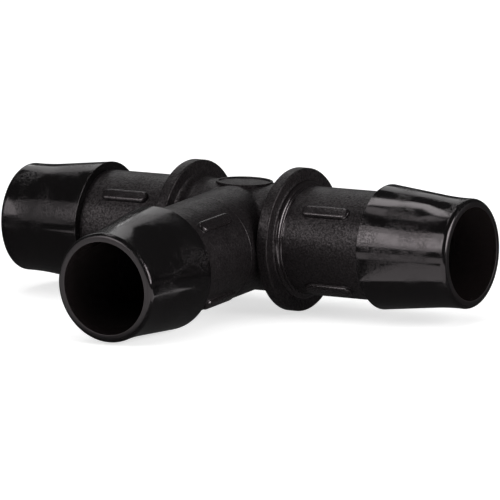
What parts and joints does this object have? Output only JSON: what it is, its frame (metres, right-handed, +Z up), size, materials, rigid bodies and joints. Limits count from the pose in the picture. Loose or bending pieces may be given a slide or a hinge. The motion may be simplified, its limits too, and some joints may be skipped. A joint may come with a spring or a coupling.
{
  "type": "hose tee fitting",
  "caption": "Black nylon tee that joins three 19 mm heater hoses, with a barbed spigot on each arm and collars that stop the two hoses of the run.",
  "frame": {"origin": "where the axis of the run and the axis of the branch cross, inside the hub", "axes": "+X along the run towards the right arm, -Y along the branch towards its mouth, +Z up through the marking pad on the hub"},
  "size_m": [0.093, 0.0592, 0.0254],
  "materials": {
    "polished_nylon": "black glass-filled nylon, glossy where the mould is polished, with faint speckle",
    "textured_nylon": "black glass-filled nylon, matte fine-grained texture"
  },
  "bodies": {
    "root": {"hub": "textured_nylon", "marking_pad": "textured_nylon", "left_collar": "textured_nylon", "right_collar": "textured_nylon", "left_neck": "textured_nylon", "left_ribs": "textured_nylon", "left_barb": "polished_nylon", "right_neck": "textured_nylon", "right_ribs": "textured_nylon", "right_barb": "polished_nylon", "branch_neck": "textured_nylon", "branch_ribs": "textured_nylon", "branch_barb": "polished_nylon"}
  },
  "joints": []
}
